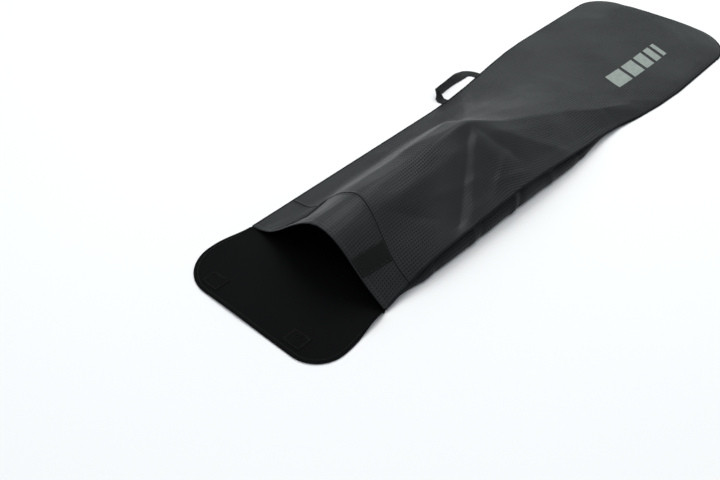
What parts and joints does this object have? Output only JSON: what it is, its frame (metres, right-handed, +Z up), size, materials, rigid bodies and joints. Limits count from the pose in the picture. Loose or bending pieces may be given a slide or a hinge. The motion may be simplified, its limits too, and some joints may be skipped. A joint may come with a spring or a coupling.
{
  "type": "snowboard bag",
  "caption": "Long flat fabric sack for one snowboard, tented as if part-loaded, with an open mouth, sewn-on cuff, folding closing flap with hook-and-loop patches, and a side grab loop.",
  "frame": {"origin": "on the underside of the bottom panel, half-way along the sack and on the middle line of its mouth", "axes": "+X from the mouth to the far end, +Y towards the edge with the handle, +Z up from the floor"},
  "size_m": [1.76, 0.5048, 0.1462],
  "materials": {
    "shell_fabric": "coated ripstop, dull sheen",
    "flap_fabric": "coated inner side, dull",
    "loop_tape": "matt pile",
    "hook_tape": "matt hooks",
    "thread": "satin thread",
    "webbing": "woven webbing",
    "print": "matt ink"
  },
  "bodies": {
    "sack": {"bottom_panel": "shell_fabric", "cuff_seam": "shell_fabric", "cuff_stitching": "thread", "end_seam": "shell_fabric", "handle_bartacks": "thread", "handle_tab_back": "webbing", "handle_tab_front": "webbing", "loop_patch_left": "loop_tape", "loop_patch_right": "loop_tape", "loop_stitching": "thread", "mark_bar_1": "print", "mark_bar_2": "print", "mark_bar_3": "print", "mark_bar_4": "print", "mark_bar_5": "print", "mouth_bartack_left": "thread", "mouth_bartack_right": "thread", "mouth_cuff": "shell_fabric", "mouth_hem": "shell_fabric", "side_seam_left": "shell_fabric", "side_seam_right": "shell_fabric", "top_panel": "shell_fabric"},
    "flap_base": {"flap_base_hem_left": "flap_fabric", "flap_base_hem_right": "flap_fabric", "flap_base_panel": "flap_fabric"},
    "flap_tip": {"flap_tip_hem": "flap_fabric", "flap_tip_panel": "flap_fabric", "hook_patch_left": "hook_tape", "hook_patch_right": "hook_tape", "hook_stitching": "thread"},
    "handle": {"handle_webbing": "webbing"}
  },
  "joints": [
    {"name": "flap_hinge", "type": "hinge", "parent": "sack", "child": "flap_base", "pos_m": [-0.783, 0, 0.0006], "axis": [0, 1, 0], "range_deg": [0, 90]},
    {"name": "flap_fold", "type": "hinge", "parent": "flap_base", "child": "flap_tip", "pos_m": [-0.918, 0, 0.0006], "axis": [0, 1, 0], "range_deg": [0, 90]},
    {"name": "handle_swing", "type": "hinge", "parent": "sack", "child": "handle", "pos_m": [-0.07499, 0.20987, 0.0026], "axis": [0.994, 0.1096, 0], "range_deg": [0, 100]}
  ]
}
